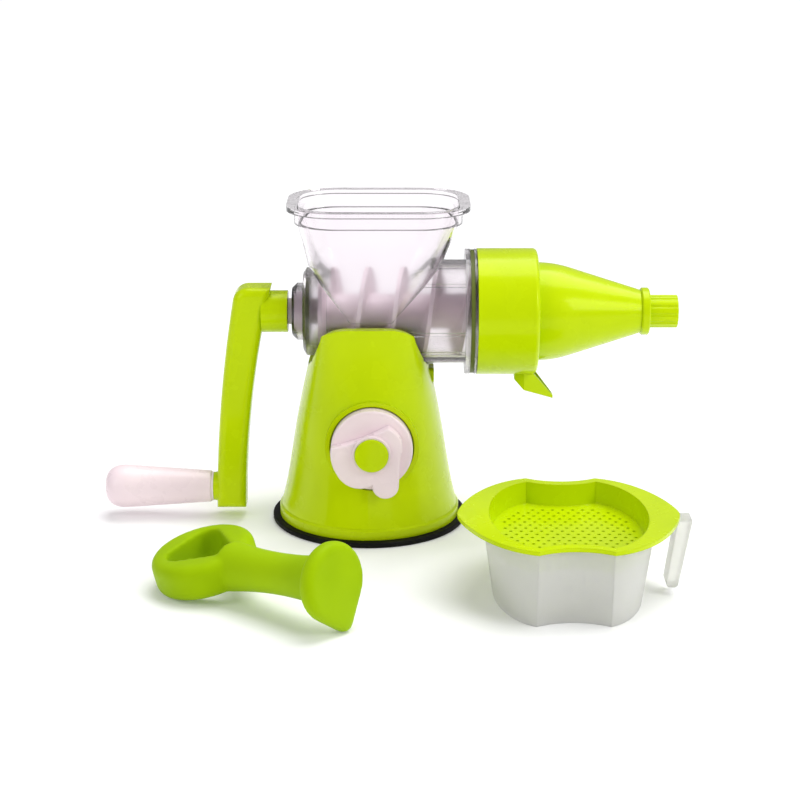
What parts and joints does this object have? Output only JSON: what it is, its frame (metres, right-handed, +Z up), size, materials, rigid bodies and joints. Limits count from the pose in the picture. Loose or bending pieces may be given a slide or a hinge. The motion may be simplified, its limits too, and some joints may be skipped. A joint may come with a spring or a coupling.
{
  "type": "manual wheatgrass juicer",
  "caption": "Hand cranked wheatgrass juicer with suction foot, clear hopper and auger barrel, bayonet juice collar, pulp nozzle, pusher, and juice cup with sieve.",
  "frame": {"origin": "centre of the suction foot's underside, on the table", "axes": "+X along the auger from the crank to the pulp nozzle, +Z up, the suction dial faces -Y"},
  "size_m": [0.364, 0.2737, 0.2065],
  "materials": {
    "green_gloss": "glossy lime green moulded plastic",
    "green_matte": "matte lime green moulded plastic",
    "pale_plastic": "pale pinkish white moulded plastic",
    "white_plastic": "white moulded plastic",
    "clear_plastic": "clear moulded plastic",
    "frosted_plastic": "translucent frosted plastic",
    "olive_seal": "dark olive rubber",
    "black_rubber": "black rubber",
    "steel": "plain stainless steel"
  },
  "bodies": {
    "base": {"base_housing": "green_gloss", "base_plate": "green_gloss", "base_screws": "steel", "suction_cup": "black_rubber", "cam_bushing": "white_plastic", "barrel_hopper": "clear_plastic", "flange_seal": "olive_seal", "rear_bushing": "white_plastic", "rear_seal": "olive_seal", "juice_screen": "steel"},
    "dial": {"suction_dial": "pale_plastic", "dial_cap": "green_gloss", "dial_screw": "steel", "cam_shaft": "steel"},
    "lifter": {"pull_rod": "steel"},
    "button": {"release_button": "green_gloss"},
    "drive": {"auger": "white_plastic", "thrust_washer": "white_plastic", "crank_arm": "green_gloss", "crank_screw": "steel", "grip_pin": "steel", "grip_washer": "white_plastic"},
    "grip": {"grip": "pale_plastic"},
    "collar": {"juice_collar": "green_gloss", "pulp_cone": "green_gloss"},
    "tip": {"nozzle_tip": "green_gloss"},
    "pusher": {"pusher": "green_matte"},
    "cup": {"juice_cup": "frosted_plastic"},
    "sieve": {"cup_sieve": "green_gloss"}
  },
  "joints": [
    {"name": "dial_turn", "type": "hinge", "parent": "base", "child": "dial", "pos_m": [0.0025, 0, 0.061], "axis": [0, 1, 0], "range_deg": [0, 100]},
    {"name": "cup_lift", "type": "slide", "parent": "base", "child": "lifter", "axis": [0, 0, 1], "range_m": [0, 0.005], "deforming": ["suction_cup"]},
    {"name": "release_press", "type": "slide", "parent": "base", "child": "button", "axis": [-1, 0, 0], "range_m": [0, 0.003], "stiffness_N_per_m": 400},
    {"name": "crank_turn", "type": "hinge", "parent": "base", "child": "drive", "pos_m": [0, 0, 0.136], "axis": [1, 0, 0], "continuous": true},
    {"name": "grip_spin", "type": "hinge", "parent": "drive", "child": "grip", "pos_m": [-0.13, 0, 0.0197], "axis": [1, 0, 0], "continuous": true},
    {"name": "collar_bayonet", "type": "hinge", "parent": "base", "child": "collar", "pos_m": [0.08, 0, 0.136], "axis": [1, 0, 0], "range_deg": [0, 40]},
    {"name": "nozzle_adjust", "type": "hinge", "parent": "collar", "child": "tip", "pos_m": [0.18, 0, 0.136], "axis": [1, 0, 0], "range_deg": [0, 180]},
    {"name": "pusher_lift", "type": "slide", "parent": "base", "child": "pusher", "axis": [0, 0, 1], "range_m": [0, 0.09]},
    {"name": "cup_raise", "type": "slide", "parent": "base", "child": "cup", "axis": [0, 0, 1], "range_m": [0, 0.12]},
    {"name": "sieve_raise", "type": "slide", "parent": "cup", "child": "sieve", "axis": [0, 0, 1], "range_m": [0, 0.06]}
  ],
  "couplings": [
    {"joint": "cup_lift", "follows": "dial_turn", "m_per_rad": 0.0028648}
  ]
}
